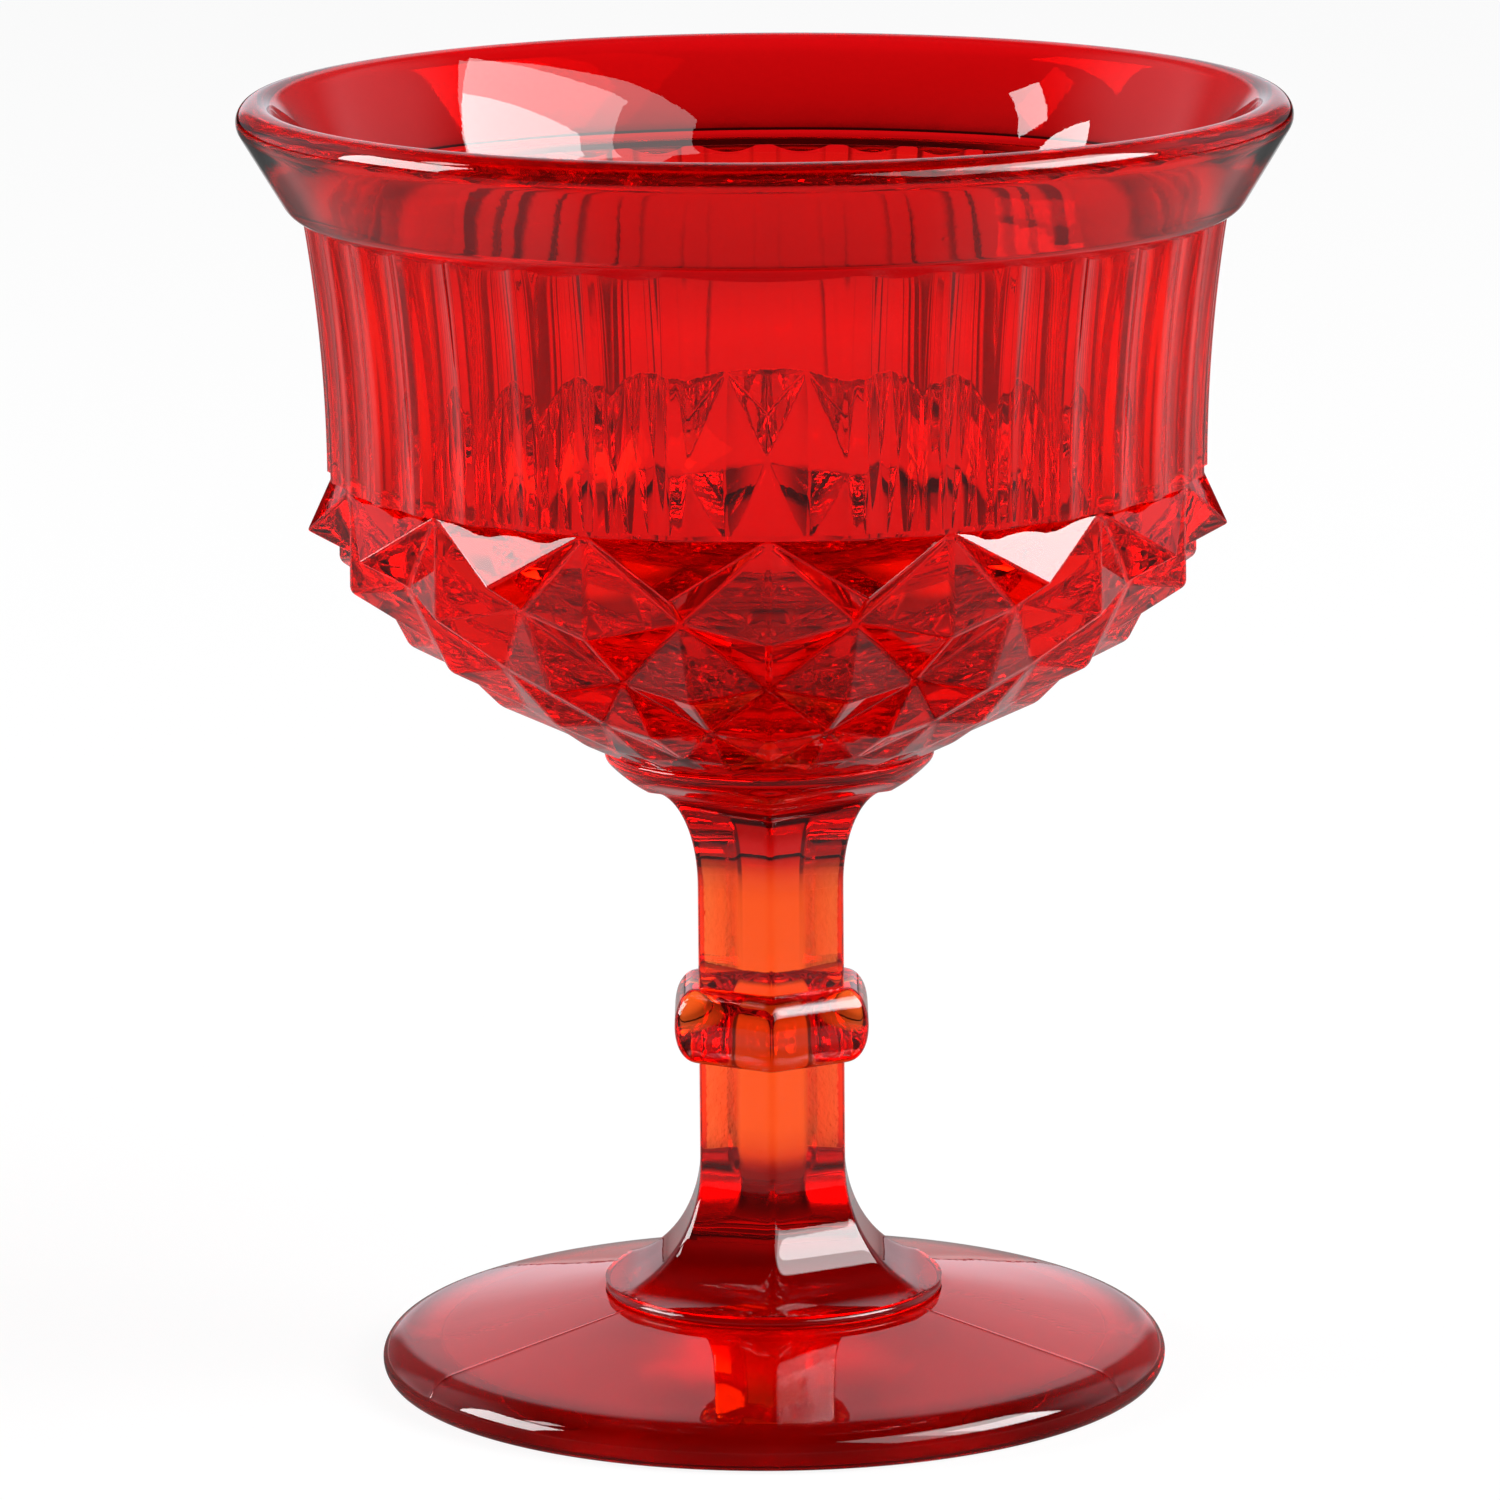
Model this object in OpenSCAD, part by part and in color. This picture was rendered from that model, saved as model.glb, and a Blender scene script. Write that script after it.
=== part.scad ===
// Stemmed sherbet glass of pressed glass, standing on its foot.
// The origin is the middle of the underside of the foot and +Z is the axis.
// The front, with a wide panel above a diamond, faces -Y.

/* [Rim] */
// Diameter over the lip
rim_d = 91.6; // [84:0.2:110]
// Thickness of the rounded lip
lip_t = 3.5; // [2.4:0.1:5]
// Height of the smooth band, lip included
band_h = 11; // [9:0.1:16]
// Diameter at the foot of the smooth band
band_foot_d = 83; // [81:0.2:88]
// Height of the slope from the foot of the band in to the flutes
band_step_h = 1.6; // [0.6:0.1:3]
// Thickness of glass at the foot of the smooth band
band_foot_t = 4.1; // [2.5:0.1:5]

/* [Fluted wall] */
// Height of the flutes
wall_h = 21.6; // [12:0.2:40]
// Diameter over the ribs at their top
rib_top_d = 80.4; // [77:0.2:81]
// Diameter over the ribs at their bottom
rib_bottom_d = 76.8; // [70:0.2:80]
// Depth of a flute behind its ribs
flute_depth = 0.8; // [0.3:0.1:1.2]
// Width of the flat on a rib
rib_w = 1.5; // [0.6:0.1:2.5]
// Narrow flutes between a wide panel and the next mould joint
flutes_beside_panel = 5; // [3:1:7]
// Angle that a wide panel takes up
panel_angle = 23; // [12:1:36]
// Thickness of glass behind the ribs at their bottom
wall_t = 4.4; // [3:0.1:6]
// Thickness of glass behind the ribs at their top
wall_top_t = 3.5; // [2.5:0.1:5]

/* [Diamond bowl] */
// Height of the bowl below the flutes
diamond_h = 24.9; // [18:0.1:34]
// Diamonds round the bowl
diamonds = 15; // [9:3:21]
// Rows of diamonds, with the cut-off top row
diamond_rows = 5; // [3:1:7]
// How far the top diamonds stand out of the grooves
tip_h = 4.1; // [1:0.1:5]
// Thickness of glass under the inside of the bowl
floor_t = 6.4; // [4:0.2:10]

/* [Collar] */
// Diameter of the round collar under the bowl
collar_d = 29; // [26:0.1:36]
// Height of the collar
collar_h = 2.9; // [2.4:0.1:6]
// Height of the upright edge of the collar
collar_edge_h = 1.3; // [0.6:0.1:2]

/* [Stem] */
// Width of the six-sided stem across its flats
stem_af = 12.8; // [9:0.1:15]
// Width of the upper flare across its flats where it meets the collar
upper_flare_af = 21.6; // [16:0.1:24]
// Height of the upper flare
upper_flare_h = 9; // [5:0.1:16]
// Height of the plain stem above the knop
upper_stem_h = 9.1; // [4:0.1:30]
// Width of the knop across its flats
knop_af = 17.1; // [15.5:0.1:24]
// Height of the knop
knop_h = 6.8; // [4:0.1:12]
// Height of the plain stem below the knop
lower_stem_h = 9.2; // [4:0.1:30]
// Height of the flare above the lip on the foot
foot_flare_h = 11; // [6:0.1:18]

/* [Foot] */
// Diameter of the foot
foot_d = 69.6; // [54:0.2:90]
// Thickness of the rounded edge of the foot
foot_edge_t = 4; // [3:0.1:6]
// Height of the foot where the lip of the flare stands on it
foot_h = 7.3; // [5.5:0.1:12]
// Diameter of the round lip of the flare
foot_lip_d = 29.9; // [24:0.1:36]
// Height of the lip of the flare
foot_lip_h = 1.2; // [0.6:0.1:3]
// Width of the flat ring under the foot that the glass rests on
rest_ring_w = 3.8; // [1:0.1:10]
// Depth of the shallow hollow under the foot
hollow_h = 1; // [0.2:0.1:2]

/* [Hidden] */

ruby = [0.80, 0.06, 0.10];
deep_ruby = [0.62, 0.03, 0.08];
amber = [0.95, 0.40, 0.12];

$fn = 96;
stem_sides = 6;
mould_parts = 3;
arc_steps = 12;
flute_steps = 5;
wall_steps = 5;
// How far a cutting shape runs past what it cuts
overrun = 5;
// Thickness of the slice that a hull starts from
slice_h = 0.01;

rim_r = rim_d / 2;
lip_r = lip_t / 2;
band_foot_r = band_foot_d / 2;
rib_top_r = rib_top_d / 2;
rib_bottom_r = rib_bottom_d / 2;
groove_r = rib_bottom_r - flute_depth;
inside_r = rib_bottom_r - wall_t;
collar_r = collar_d / 2;
foot_r = foot_d / 2;
foot_edge_r = foot_edge_t / 2;
foot_lip_r = foot_lip_d / 2;
hollow_r = foot_r - foot_edge_r - rest_ring_w;

// The sections stand on each other from the foot up
lip_z = foot_h;
foot_flare_z = lip_z + foot_lip_h;
lower_stem_z = foot_flare_z + foot_flare_h;
knop_z = lower_stem_z + lower_stem_h;
upper_stem_z = knop_z + knop_h;
upper_flare_z = upper_stem_z + upper_stem_h;
collar_z = upper_flare_z + upper_flare_h;
bowl_z = collar_z + collar_h;
wall_z = bowl_z + diamond_h;
band_z = wall_z + wall_h;
top_z = band_z + band_h;
floor_z = bowl_z + floor_t;

// A point at radius r and height z, turned by angle a from the front
function round_the_axis(r, a, z) = [r * sin(a), -r * cos(a), z];

// Points of an arc about a centre, from one angle to another
function arc(centre, r, from, to, steps = arc_steps) =
    [for (i = [0 : steps]) let (a = from + (to - from) * i / steps)
        centre + r * [cos(a), sin(a)]];

// The lip is a round bead. The outside of the band and the inside of the bowl run into it without a kink.
lip_centre = [rim_r - lip_r, top_z - lip_r];
inside_lean = 39;
inside_top = lip_centre + lip_r * [-cos(inside_lean), sin(inside_lean)];
band_foot = [band_foot_r, band_z + band_step_h];
to_lip = lip_centre - band_foot;
lip_from = atan2(to_lip[1], to_lip[0]) - 180 + acos(lip_r / norm(to_lip));

// Above its rounded floor the inside runs through these points, set by the thickness of glass at each
wall_foot_in = [inside_r, wall_z];
wall_top_in = [rib_top_r - wall_top_t, band_z];
band_foot_in = [band_foot_r - band_foot_t, band_z + band_step_h];

// Slopes are radius over height. A middle point takes a mean of the slopes on both sides.
function slope(p, q) = (q[0] - p[0]) / (q[1] - p[1]);
function mean_slope(p, q, r) =
    let (a = slope(p, q), b = slope(q, r), h = q[1] - p[1], k = r[1] - q[1])
        a * b <= 0 ? 0 : 3 * (h + k) / ((2 * k + h) / a + (k + 2 * h) / b);
wall_top_slope = mean_slope(wall_foot_in, wall_top_in, band_foot_in);
band_foot_slope = mean_slope(wall_top_in, band_foot_in, inside_top);

// Points of a smooth curve from p to q, without p, that starts and ends with the given slopes
function smooth_run(p, q, from_slope, to_slope) =
    [for (i = [1 : arc_steps])
        let (t = i / arc_steps, h = q[1] - p[1], blend = t * t * (3 - 2 * t))
            [p[0] + (q[0] - p[0]) * blend
                + h * t * (1 - t) * (from_slope * (1 - t) - to_slope * t), p[1] + h * t]];
wall_inside = smooth_run(wall_foot_in, wall_top_in, 0, wall_top_slope);
band_inside = concat(
    smooth_run(wall_top_in, band_foot_in, wall_top_slope, band_foot_slope),
    smooth_run(band_foot_in, inside_top, band_foot_slope, tan(inside_lean)));

// The rounded floor of the inside is a quarter of an ellipse
floor_depth = wall_z - floor_z;
function inside_floor() =
    [for (i = [0 : arc_steps]) let (a = 90 * (i / arc_steps - 1))
        [inside_r * cos(a), wall_z + floor_depth * sin(a)]];

module bowl_inside() {
    rotate_extrude()
        polygon(concat(
            inside_floor(),
            wall_inside,
            band_inside,
            [[inside_top[0], top_z + overrun], [0, top_z + overrun]]));
}

module rim_band() {
    color(ruby)
        rotate_extrude()
            polygon(concat(
                [[rib_top_r, band_z], band_foot],
                arc(lip_centre, lip_r, lip_from, 90),
                arc(lip_centre, lip_r, 90, 180 - inside_lean),
                [for (i = [len(band_inside) - 2 : -1 : 0]) band_inside[i]],
                [wall_top_in]));
}

// A solid of rings of n points from the top down, with sides, closed by flat caps made of spokes
module closed_by_caps(points, sides, n, z_above, z_below) {
    above = len(points);
    below = above + 1;
    last = above - n;
    top = [for (i = [0 : n - 1]) [above, (i + 1) % n, i]];
    bottom = [for (i = [0 : n - 1]) [below, last + i, last + (i + 1) % n]];
    polyhedron(concat(points, [[0, 0, z_above], [0, 0, z_below]]), concat(sides, top, bottom));
}

// Flutes: each groove is the angle where it starts and the angle that it takes up
joint_angle = 360 / mould_parts;
flute_angle = (joint_angle - panel_angle) / (2 * flutes_beside_panel);
panel_from = flutes_beside_panel * flute_angle;
third = concat(
    [for (i = [0 : flutes_beside_panel - 1]) [i * flute_angle, flute_angle]],
    [[panel_from, panel_angle]],
    [for (i = [0 : flutes_beside_panel - 1]) [panel_from + panel_angle + i * flute_angle, flute_angle]]);
grooves = [for (part = [0 : mould_parts - 1]) for (g = third)
    [joint_angle * (part - 1 / 2) + g[0], g[1]]];

// Height share u runs from 0 at the bottom of the ribs to 1 at their top
function rib_radius(u) = rib_bottom_r + (rib_top_r - rib_bottom_r) * u * u;

// One outline of the fluted wall, with a flat on each rib and a hollow across each groove
function wall_outline(u) =
    let (r = rib_radius(u), flat = asin(rib_w / 2 / r))
        [for (g = grooves) for (i = [0 : flute_steps])
            let (s = i / flute_steps, across = g[1] - 2 * flat)
                round_the_axis(r - flute_depth * (1 - pow(2 * s - 1, 2)), g[0] + flat + across * s,
                    wall_z + wall_h * u)];

module fluted_solid() {
    outlines = [for (k = [0 : wall_steps]) wall_outline(1 - k / wall_steps)];
    n = len(outlines[0]);
    points = [for (outline = outlines) for (p = outline) p];
    sides = [for (k = [0 : wall_steps - 1]) for (i = [0 : n - 1])
        let (j = (i + 1) % n)
            [k * n + i, k * n + j, (k + 1) * n + j, (k + 1) * n + i]];
    closed_by_caps(points, sides, n, band_z, wall_z);
}

module fluted_wall() {
    color(ruby)
        difference() {
            fluted_solid();
            bowl_inside();
        }
}

// Diamonds: the grooves cross on a bowl with a round shoulder, in levels that close up towards the collar
half_pitches = 2 * diamonds;
half_pitch = 360 / half_pitches;
level_power = 1.37;
tip_power = 1.7;
bowl_power = 2;
bowl_end = acos(pow(collar_r / groove_r, 1 / bowl_power));
bowl_reach = diamond_h / sin(bowl_end);
function level_angle(k) = bowl_end * (1 - pow(1 - k / diamond_rows, level_power));
function groove_point(t) = [groove_r * pow(cos(t), bowl_power), wall_z - bowl_reach * sin(t)];
function outward(t) =
    let (v = [bowl_reach * cos(t), -groove_r * bowl_power * pow(cos(t), bowl_power - 1) * sin(t)])
        v / norm(v);
function tip_point(k) =
    let (t = level_angle(k))
        groove_point(t) + tip_h * pow(1 - k / diamond_rows, tip_power) * outward(t);

// A level has a tip on every second point and a crossing of two grooves on the others
function is_tip(i, k) = k > 0 && (i + k) % 2 == 1;
function rib_foot(i) = i % 2 == 1 ? [rib_bottom_r, wall_z] : [groove_r, wall_z];
function level_point(i, k) =
    k == 0 ? rib_foot(i) : is_tip(i, k) ? tip_point(k) : groove_point(level_angle(k));

// The top row is cut off by the flutes, so its tips sit part of the way down to the first level
top_tip_level = 0.5;

module diamond_solid() {
    n = half_pitches;
    grid = [for (k = [0 : diamond_rows]) for (i = [0 : n - 1])
        let (p = level_point(i, k)) round_the_axis(p[0], i * half_pitch, p[1])];
    top_tip = tip_point(top_tip_level);
    tips = [for (i = [1 : 2 : n - 1]) round_the_axis(top_tip[0], i * half_pitch, top_tip[1])];
    top_level = [for (i = [0 : n - 1]) grid[i]];
    lower_levels = [for (i = [n : len(grid) - 1]) grid[i]];
    first_tip = n;
    level_1 = first_tip + diamonds;
    top_row = [for (i = [1 : 2 : n - 1])
        let (left = i - 1, right = (i + 1) % n, tip = first_tip + (i - 1) / 2)
            each [
                [left, i, tip], [i, right, tip],
                [left, tip, level_1 + i], [tip, right, level_1 + i],
                [left, level_1 + i, level_1 + left], [right, level_1 + right, level_1 + i]
            ]];
    lower_rows = [for (k = [0 : diamond_rows - 2]) for (i = [0 : n - 1])
        let (above = level_1 + k * n, below = above + n, j = (i + 1) % n,
            a = above + i, b = above + j, c = below + j, d = below + i)
            each (is_tip(i, k + 1) ? [[a, b, d], [b, c, d]] : [[a, b, c], [a, c, d]])];
    closed_by_caps(concat(top_level, tips, lower_levels), concat(top_row, lower_rows), n, wall_z, bowl_z);
}

module diamond_bowl() {
    color(deep_ruby)
        difference() {
            diamond_solid();
            bowl_inside();
        }
}

// A plain six-sided column with an edge to the front
module six_sided_bar(across_flats, from, height) {
    translate([0, 0, from])
        rotate(90)
            cylinder(h = height, d = across_flats / cos(180 / stem_sides), $fn = stem_sides);
}

// The collar is round at its upright edge and draws in to the six sides of the flare below it
module collar() {
    color(deep_ruby)
        hull() {
            translate([0, 0, bowl_z - collar_edge_h])
                cylinder(h = collar_edge_h, r = collar_r, $fn = 64);
            six_sided_bar(upper_flare_af, collar_z, slice_h);
        }
}

// A six-sided column with an edge to the front, from a list of half widths across the flats and heights
module six_sided(profile) {
    steps = len(profile);
    widest = max([for (p = profile) p[0]]);
    outline = concat(profile, [for (i = [steps - 1 : -1 : 0]) [-profile[i][0], profile[i][1]]]);
    intersection_for (i = [0 : stem_sides / 2 - 1])
        rotate(360 / stem_sides * i)
            rotate([90, 0, 0])
                linear_extrude(4 * widest, center = true)
                    polygon(outline);
}

// Half widths of a flare that leaves the stem upright and spreads like a quarter of an ellipse
function flare(narrow, wide, from, to) =
    [for (i = [0 : arc_steps]) let (a = 90 * i / arc_steps)
        [wide - (wide - narrow) * cos(a), from + (to - from) * sin(a)]];

module upper_flare() {
    color(deep_ruby)
        six_sided(flare(stem_af / 2, upper_flare_af / 2, upper_flare_z, collar_z));
}

module upper_stem() {
    color(amber)
        six_sided_bar(stem_af, upper_stem_z, upper_stem_h);
}

// The knop swells with a round curve, a little fuller than an ellipse
knop_power = 2.1;
function knop_swell(s) = pow(1 - pow(abs(s), knop_power), 1 / knop_power);

module knop() {
    color(amber)
        six_sided([for (i = [0 : arc_steps])
            let (s = -cos(180 * i / arc_steps))
                [stem_af / 2 + (knop_af - stem_af) / 2 * knop_swell(s), knop_z + knop_h * (1 + s) / 2]]);
}

module lower_stem() {
    color(amber)
        six_sided_bar(stem_af, lower_stem_z, lower_stem_h);
}

module foot_flare() {
    color(deep_ruby) {
        intersection() {
            six_sided(flare(stem_af / 2, foot_lip_r, lower_stem_z, foot_flare_z));
            translate([0, 0, foot_flare_z])
                cylinder(h = foot_flare_h, r = foot_lip_r);
        }
        translate([0, 0, lip_z])
            cylinder(h = foot_lip_h, r = foot_lip_r);
    }
}

module foot() {
    edge_centre = [foot_r - foot_edge_r, foot_edge_r];
    to_lip_foot = [foot_lip_r, foot_h] - edge_centre;
    edge_to = atan2(to_lip_foot[1], to_lip_foot[0]) - acos(foot_edge_r / norm(to_lip_foot));
    hollow = [for (i = [0 : arc_steps]) let (s = i / arc_steps) [hollow_r * s, hollow_h * (1 - s * s)]];
    color(ruby)
        rotate_extrude()
            polygon(concat(
                hollow,
                arc(edge_centre, foot_edge_r, -90, edge_to),
                [[foot_lip_r, foot_h], [0, foot_h]]));
}

rim_band();
fluted_wall();
diamond_bowl();
collar();
upper_flare();
upper_stem();
knop();
lower_stem();
foot_flare();
foot();
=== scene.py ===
import math
from contextlib import contextmanager

import bmesh
import bpy
import numpy as np
from mathutils import Matrix, Vector


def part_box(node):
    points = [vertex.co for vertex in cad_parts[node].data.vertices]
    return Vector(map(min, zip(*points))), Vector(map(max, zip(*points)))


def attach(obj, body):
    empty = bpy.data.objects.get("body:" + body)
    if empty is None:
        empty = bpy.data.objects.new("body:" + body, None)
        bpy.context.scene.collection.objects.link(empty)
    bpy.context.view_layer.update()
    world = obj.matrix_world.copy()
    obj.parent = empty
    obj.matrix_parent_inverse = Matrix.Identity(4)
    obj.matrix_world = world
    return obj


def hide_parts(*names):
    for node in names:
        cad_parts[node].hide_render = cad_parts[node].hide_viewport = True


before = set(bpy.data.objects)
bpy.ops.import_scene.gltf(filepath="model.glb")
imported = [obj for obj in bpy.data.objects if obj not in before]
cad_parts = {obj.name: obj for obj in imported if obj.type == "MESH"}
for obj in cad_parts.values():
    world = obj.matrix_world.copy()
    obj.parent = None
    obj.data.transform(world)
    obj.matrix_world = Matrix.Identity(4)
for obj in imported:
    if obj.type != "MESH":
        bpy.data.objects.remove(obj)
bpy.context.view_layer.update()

bl_info = {
    "name": "Pressed Sherbet Glass",
    "version": (1, 0, 0),
    "blender": (4, 5, 0),
    "location": "View3D > Sidebar > Sherbet Glass",
    "description": "Builds a stemmed sherbet glass, pressed in glass that runs from red to amber",
    "category": "Add Mesh",
}

MM = 0.001

# The mould has three parts, and its pattern repeats in each
MOULD_PARTS = 3
FLUTES_BESIDE_PANEL = 5
DIAMONDS = 15
DIAMOND_ROWS = 5
STEM_SIDES = 6

# Columns of points across a flute and a panel, and all round each kind of piece
FLUTE_COLUMNS = 24
PANEL_COLUMNS = 60
WALL_COLUMNS = MOULD_PARTS * (PANEL_COLUMNS + 2 * FLUTES_BESIDE_PANEL * FLUTE_COLUMNS)
STEM_COLUMNS = 288
ROUND_COLUMNS = 360
HOLLOW_COLUMNS = 240
# A turned piece is spun as one of these sectors, which is then copied round
SECTORS = 12

# Places nearer than TOUCHING count as one, and points nearer than MERGING are merged
TOUCHING = 0.01 * MM
MERGING = 0.002 * MM
# A face is level if its normal is at least this much upright
LEVEL = 0.999
JOINT_GAP = 0.004 * MM

# The camera was fitted to the photograph. The focal length is in its pixels, and the angles are in degrees.
PHOTO_WIDTH = 1500
PHOTO_FOCAL_LENGTH = 8915
CAMERA_PLACE = (0, -0.7679, 0.2124)
CAMERA_DOWN = 11.51
CAMERA_ROLL = -0.45
CAMERA_SHIFT = -0.013
SENSOR_WIDTH = 36


def half_width(node):
    low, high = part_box(node)
    return (high.x - low.x) / 2


def foot_of(node):
    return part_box(node)[0].z


def top_of(node):
    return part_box(node)[1].z


def flutes_end(sizes):
    """Height of the foot of the step under the rim band, where the flutes end"""
    return foot_of("rim_band") + sizes.band_rise - sizes.band_step


def length(name, description, default):
    return bpy.props.FloatProperty(
        name=name, description=description, default=default, min=0.0, unit="LENGTH", precision=5)


def colour(name, description, default):
    return bpy.props.FloatVectorProperty(
        name=name, description=description, default=default, size=3, min=0.0, max=1.0, subtype="COLOR")


class GlassSizes(bpy.types.PropertyGroup):
    """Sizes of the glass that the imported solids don't give by their boxes"""

    rim_radius: length("Rim radius", "Radius of the glass at its lip", half_width("rim_band"))
    lip_thickness: length("Lip thickness", "Thickness of the round bead at the rim", 3.5 * MM)
    band_foot_radius: length("Band foot radius", "Radius of the rim band just above its step", 41.5 * MM)
    band_rise: length("Band rise", "Height of the rim band's lower edge above its packed joint", 1.6 * MM)
    band_step: length("Band step", "Height of the sloping step under that edge", 0.7 * MM)
    band_bend: length("Band bend", "How far the rounding of that edge reaches to either side", 0.7 * MM)
    band_foot_wall: length("Band foot wall", "Thickness of the glass above the step", 4.1 * MM)
    rib_top_radius: length("Rib top radius", "Radius of the ribs at their top", 40.2 * MM)
    rib_foot_radius: length("Rib foot radius", "Radius of the ribs at their foot", 38.4 * MM)
    rib_width: length("Rib width", "Width of the flat on a rib", 1.5 * MM)
    rib_rounding: length("Rib rounding", "How far the edges of a rib are rounded over", 0.28 * MM)
    flute_depth: length("Flute depth", "Depth of the hollow between two ribs at its top", 0.8 * MM)
    flute_foot_depth: length("Flute foot depth", "Depth of that hollow at its foot", 0.5 * MM)
    wall_top: length("Wall at its top", "Thickness of the fluted wall at its top", 3.5 * MM)
    wall_foot: length("Wall at its foot", "Thickness of the fluted wall at its foot", 4.4 * MM)
    panel_angle: bpy.props.FloatProperty(
        name="Panel angle", description="Angle that a wide panel takes up",
        default=math.radians(23), subtype="ANGLE")
    diamond_tip: length("Diamond tip", "How far a tip at the top of the bowl would stand out", 4.1 * MM)
    diamond_edge: length("Diamond edge", "Rounding of the edges and grooves of the diamonds", 0.38 * MM)
    floor_thickness: length("Floor thickness", "Thickness of the floor of the bowl", 6.4 * MM)
    collar_edge: length("Collar edge", "Height of the upright edge of the collar", 1.3 * MM)
    collar_bead: length("Collar bead", "Rounding of the top of the collar", 0.25 * MM)
    lip_height: length("Flare lip", "Height of the round lip of the lower flare", 1.2 * MM)
    lip_bead: length("Flare lip bead", "Rounding of the edge of that lip", 0.5 * MM)
    foot_edge: length("Foot edge", "Height of the round edge of the foot above its widest line", 2.4 * MM)
    foot_edge_width: length("Foot edge width", "How far in that rounding of the foot reaches", 3.4 * MM)
    foot_belt: length("Foot belt", "Height of the widest line of the foot", 1.6 * MM)
    hollow_radius: length("Hollow radius", "Radius of the hollow under the foot", 29.0 * MM)
    hollow_depth: length("Hollow depth", "Depth of the hollow under the foot", 1.0 * MM)
    seam_height: length("Seam height", "How far a mould seam stands out of the foot", 0.04 * MM)


class GlassColours(bpy.types.PropertyGroup):
    """Colours of the glass, as its surface leaves light after one crossing, and of what stands round it"""

    rim: colour("Rim", "Deep red of the rim band", (0.70, 0.005, 0.014))
    wall: colour("Wall", "Red of the fluted wall", (0.97, 0.026, 0.008))
    bowl: colour("Bowl", "Red of the diamonds", (0.84, 0.018, 0.012))
    collar: colour("Collar", "Dark red of the collar and the upper flare", (0.64, 0.014, 0.03))
    stem: colour("Stem", "Near white of the stem, which is amber by its thickness", (1.0, 0.98, 0.94))
    flare: colour("Lower flare", "Dark red of the lower flare", (0.54, 0.012, 0.03))
    foot: colour("Foot", "Red of the foot", (0.96, 0.03, 0.07))
    body: colour("Body", "Amber that thick glass lets through", (0.99, 0.50, 0.005))
    floor: colour("Floor", "Pale floor that the glass stands on", (0.82, 0.82, 0.82))
    studio: colour("Studio", "Cool white of the studio round the glass", (0.94, 0.92, 1.0))


# Selecting and shaping in edit mode

def clear_selection():
    if bpy.context.object is not None and bpy.context.object.mode != "OBJECT":
        bpy.ops.object.mode_set(mode="OBJECT")
    bpy.ops.object.select_all(action="DESELECT")


def pick(piece):
    clear_selection()
    piece.select_set(True)
    bpy.context.view_layer.objects.active = piece


@contextmanager
def editing(piece):
    pick(piece)
    bpy.ops.object.mode_set(mode="EDIT")
    yield
    bpy.ops.object.mode_set(mode="OBJECT")


def choose(piece, kind, test):
    """Selects the points, edges or faces of a piece in edit mode that pass a test"""
    bpy.ops.mesh.select_mode(type=kind)
    bpy.ops.mesh.select_all(action="DESELECT")
    mesh = bmesh.from_edit_mesh(piece.data)
    for item in {"VERT": mesh.verts, "EDGE": mesh.edges, "FACE": mesh.faces}[kind]:
        if test(item):
            item.select_set(True)
    mesh.select_flush_mode()
    bmesh.update_edit_mesh(piece.data, loop_triangles=False, destructive=False)


def move_ring(start, end):
    """Moves the selected points from one radius and height to another"""
    size = end[0] / start[0]
    bpy.ops.transform.resize(value=(size, size, 1), center_override=(0, 0, start[1]))
    bpy.ops.transform.translate(value=(0, 0, end[1] - start[1]))


def merge_and_face_out(piece):
    with editing(piece):
        bpy.ops.mesh.select_all(action="SELECT")
        bpy.ops.mesh.remove_doubles(threshold=MERGING)
        bpy.ops.mesh.normals_make_consistent(inside=False)


def turned(name, outline, columns):
    """Draws an outline of radius and height by extruding one point, spins it about the axis into one
    sector, and copies that round. An outline that starts off the axis is closed into a ring first."""
    clear_selection()
    bpy.ops.mesh.primitive_plane_add(size=MM)
    piece = bpy.context.object
    piece.name = piece.data.name = name
    with editing(piece):
        bpy.ops.mesh.select_all(action="SELECT")
        bpy.ops.mesh.merge(type="CENTER")
        bpy.ops.transform.translate(value=(outline[0][0], 0, outline[0][1]))
        for (r, z), (next_r, next_z) in zip(outline, outline[1:]):
            bpy.ops.mesh.extrude_region_move(
                TRANSFORM_OT_translate={"value": (next_r - r, 0, next_z - z)})
        if outline[0][0] > 0:
            choose(piece, "VERT", lambda v: len(v.link_edges) == 1)
            bpy.ops.mesh.edge_face_add()
        bpy.ops.mesh.select_all(action="SELECT")
        about = {"center": (0, 0, 0), "axis": (0, 0, 1), "use_auto_merge": False}
        bpy.ops.mesh.spin(steps=columns // SECTORS, angle=math.tau / SECTORS, **about)
        bpy.ops.mesh.select_all(action="SELECT")
        bpy.ops.mesh.spin(steps=SECTORS - 1, angle=math.tau - math.tau / SECTORS, dupli=True, **about)
    merge_and_face_out(piece)
    return piece


def pressed(piece, shape):
    """Moves the points of a turned piece, as a mould presses it. The shape takes their angle from the
    front, radius and height, and gives them back changed."""
    mesh = piece.data
    points = np.empty(len(mesh.vertices) * 3, np.float32)
    mesh.vertices.foreach_get("co", points)
    x, y, z = points.reshape(-1, 3).astype(float).T
    angle, radius, z = shape(np.arctan2(x, -y), np.hypot(x, y), z)
    points = np.stack([radius * np.sin(angle), -radius * np.cos(angle), z], axis=1)
    mesh.vertices.foreach_set("co", points.astype(np.float32).ravel())
    mesh.update()
    merge_and_face_out(piece)


def combined(piece, other, operation):
    """Joins another object to a piece or cuts it out, and deletes that object"""
    pick(piece)
    cut = piece.modifiers.new("Combine", "BOOLEAN")
    cut.solver, cut.operation, cut.object = "EXACT", operation, other
    bpy.ops.object.modifier_apply(modifier=cut.name)
    mesh = other.data
    bpy.data.objects.remove(other)
    bpy.data.meshes.remove(mesh)


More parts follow.
